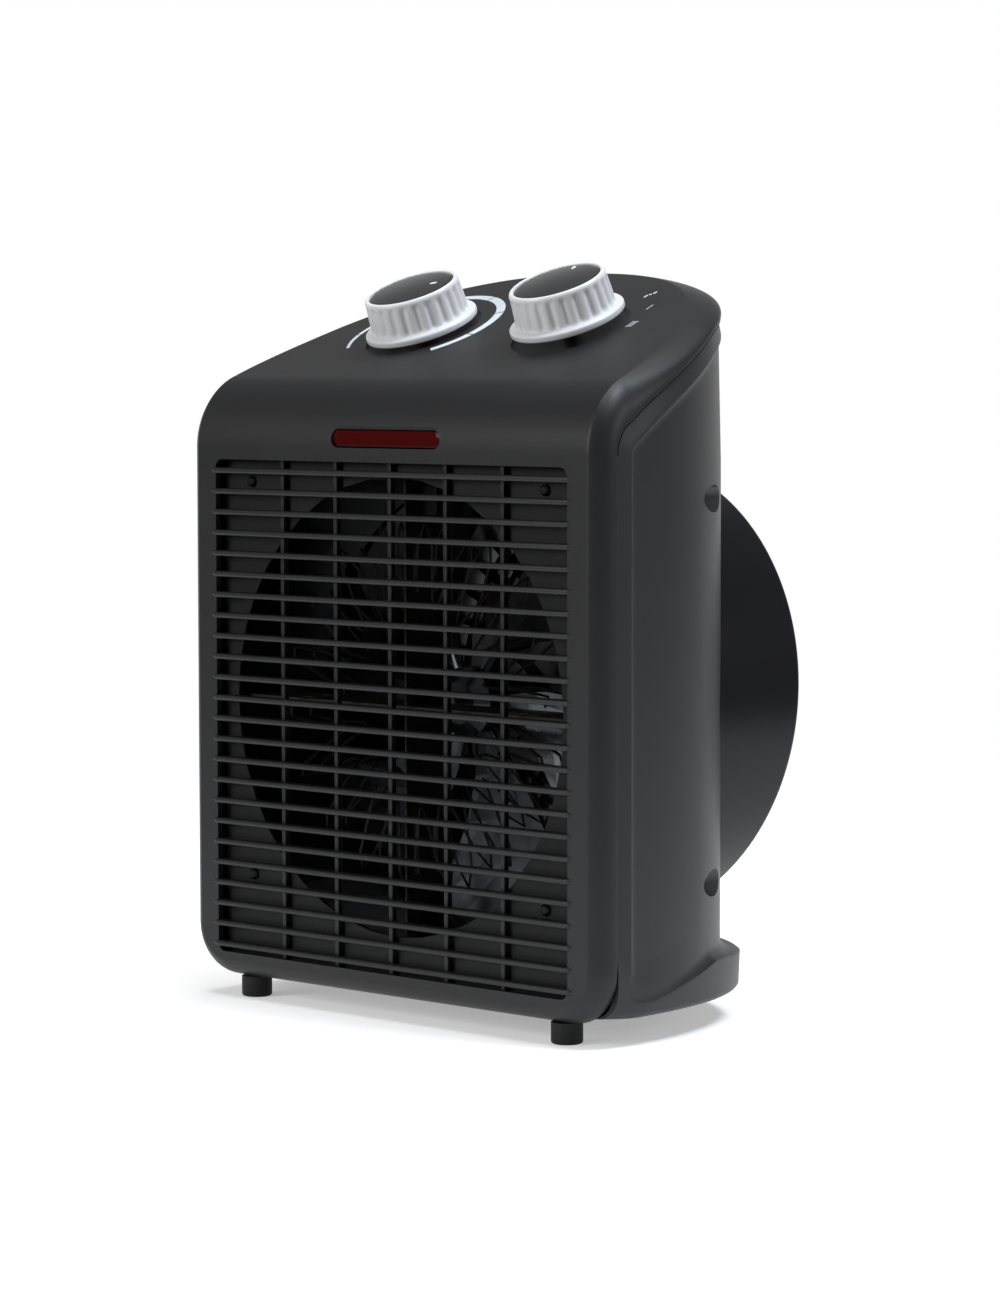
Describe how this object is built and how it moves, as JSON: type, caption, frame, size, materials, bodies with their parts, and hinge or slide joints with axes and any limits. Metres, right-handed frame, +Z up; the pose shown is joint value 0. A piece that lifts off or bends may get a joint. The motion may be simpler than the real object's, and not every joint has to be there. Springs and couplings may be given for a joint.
{
  "type": "fan heater",
  "caption": "Free-standing electric fan heater with a slatted front grille, a sloping panel with thermostat and selector knobs, and a round air intake drum at the back.",
  "frame": {"origin": "on the surface that the feet stand on, under the middle of the overall width and depth", "axes": "+X to the right as seen from the front, +Y from the grille to the back, +Z up"},
  "size_m": [0.192, 0.1249, 0.2503],
  "materials": {
    "front_plastic": "satin",
    "rear_plastic": "fine matt grain",
    "drum_plastic": "semi-gloss",
    "red_lens": "clear red, polished",
    "neon_glass": "clear",
    "bakelite": "moulded",
    "knob_plastic": "satin",
    "cap_plastic": "polished",
    "steel": "zinc plated",
    "foot_rubber": "matt",
    "black_plate": "satin black",
    "bright_aluminium": "bright rolled",
    "mica": "pressed mica board",
    "heating_wire": "oxidised",
    "stator_iron": "stacked laminations",
    "taped_coil": "wound wire under yellow tape",
    "bush_rubber": "matt"
  },
  "bodies": {
    "case": {"front_cover": "front_plastic", "rear_cover": "rear_plastic", "intake_drum": "drum_plastic", "indicator_lens": "red_lens", "indicator_lamp": "neon_glass", "lamp_holder": "bakelite", "thermostat_body": "bakelite", "selector_body": "bakelite", "front_foot_left": "foot_rubber", "front_foot_right": "foot_rubber", "rear_foot_left": "foot_rubber", "rear_foot_right": "foot_rubber", "heater_plate": "black_plate", "plate_screw_1": "steel", "plate_screw_2": "steel", "plate_screw_3": "steel", "plate_screw_4": "steel", "heat_shield": "bright_aluminium", "mica_card_upright": "mica", "mica_card_level": "mica", "heating_wire_low": "heating_wire", "heating_wire_high": "heating_wire", "thermal_cut_out": "steel", "fan_motor": "stator_iron", "motor_coil": "taped_coil", "motor_bracket": "steel", "motor_screw_1": "steel", "motor_screw_2": "steel", "case_screw_1": "steel", "case_screw_2": "steel", "case_screw_3": "steel", "case_screw_4": "steel", "cord_inlet_bush": "bush_rubber"},
    "thermostat_control": {"thermostat_knob": "knob_plastic", "thermostat_knob_cap": "cap_plastic", "thermostat_shaft": "steel"},
    "selector_control": {"selector_knob": "knob_plastic", "selector_knob_cap": "cap_plastic", "selector_shaft": "steel"},
    "fan_rotor": {"fan_impeller": "bright_aluminium", "motor_shaft": "steel"}
  },
  "joints": [
    {"name": "thermostat_turn", "type": "hinge", "parent": "case", "child": "thermostat_control", "pos_m": [-0.0343, -0.0087, 0.22801], "axis": [0, -0.3907, 0.9205], "range_deg": [-68, 202]},
    {"name": "selector_turn", "type": "hinge", "parent": "case", "child": "selector_control", "pos_m": [0.0343, -0.0087, 0.22801], "axis": [0, -0.3907, 0.9205], "range_deg": [-104, 0]},
    {"name": "fan_spin", "type": "hinge", "parent": "case", "child": "fan_rotor", "pos_m": [0, -0.0205, 0.1036], "axis": [0, 1, 0], "continuous": true}
  ]
}
